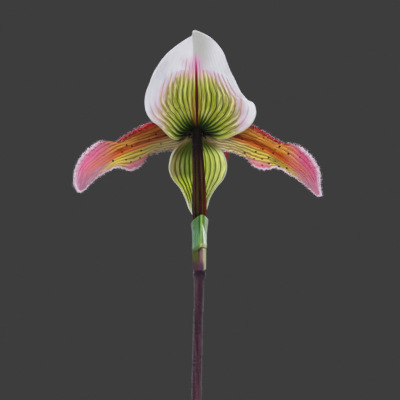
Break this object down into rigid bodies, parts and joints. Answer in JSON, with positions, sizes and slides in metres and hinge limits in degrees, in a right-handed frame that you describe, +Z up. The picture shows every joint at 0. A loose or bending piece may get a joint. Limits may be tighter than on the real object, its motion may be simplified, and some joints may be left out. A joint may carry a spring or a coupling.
{
  "type": "potted slipper orchid",
  "caption": "Slipper orchid in flower in a plain clay pot: a fan of mottled strap leaves, a side shoot and one tall stem with a striped, pouched bloom.",
  "frame": {"origin": "centre of the pot's flat foot, on the surface it stands on", "axes": "+Z up along the flower stem; the flower looks towards +Y and nods a little; +X to the right when the flower is seen from behind, as in the picture"},
  "size_m": [0.224, 0.11, 0.4113],
  "materials": {
    "clay": "unglazed fired clay, matt",
    "bark": "rough bark chips",
    "rhizome": "papery",
    "leaf": "satin",
    "stem": "finely hairy",
    "bract": "satin",
    "sepal": "satin",
    "petal": "satin",
    "lip": "glossy",
    "shield": "glossy"
  },
  "bodies": {
    "root": {"pot": "clay", "potting_mix": "bark", "rhizome": "rhizome", "leaf_1": "leaf", "leaf_2": "leaf", "leaf_3": "leaf", "leaf_4": "leaf", "leaf_5": "leaf", "leaf_6": "leaf", "shoot_leaf_1": "leaf", "shoot_leaf_2": "leaf", "shoot_leaf_3": "leaf", "flower_stem": "stem", "ovary": "stem", "bract": "bract", "dorsal_sepal": "sepal", "synsepal": "sepal", "petal_left": "petal", "petal_right": "petal", "pouch": "lip", "column": "shield"}
  },
  "joints": []
}
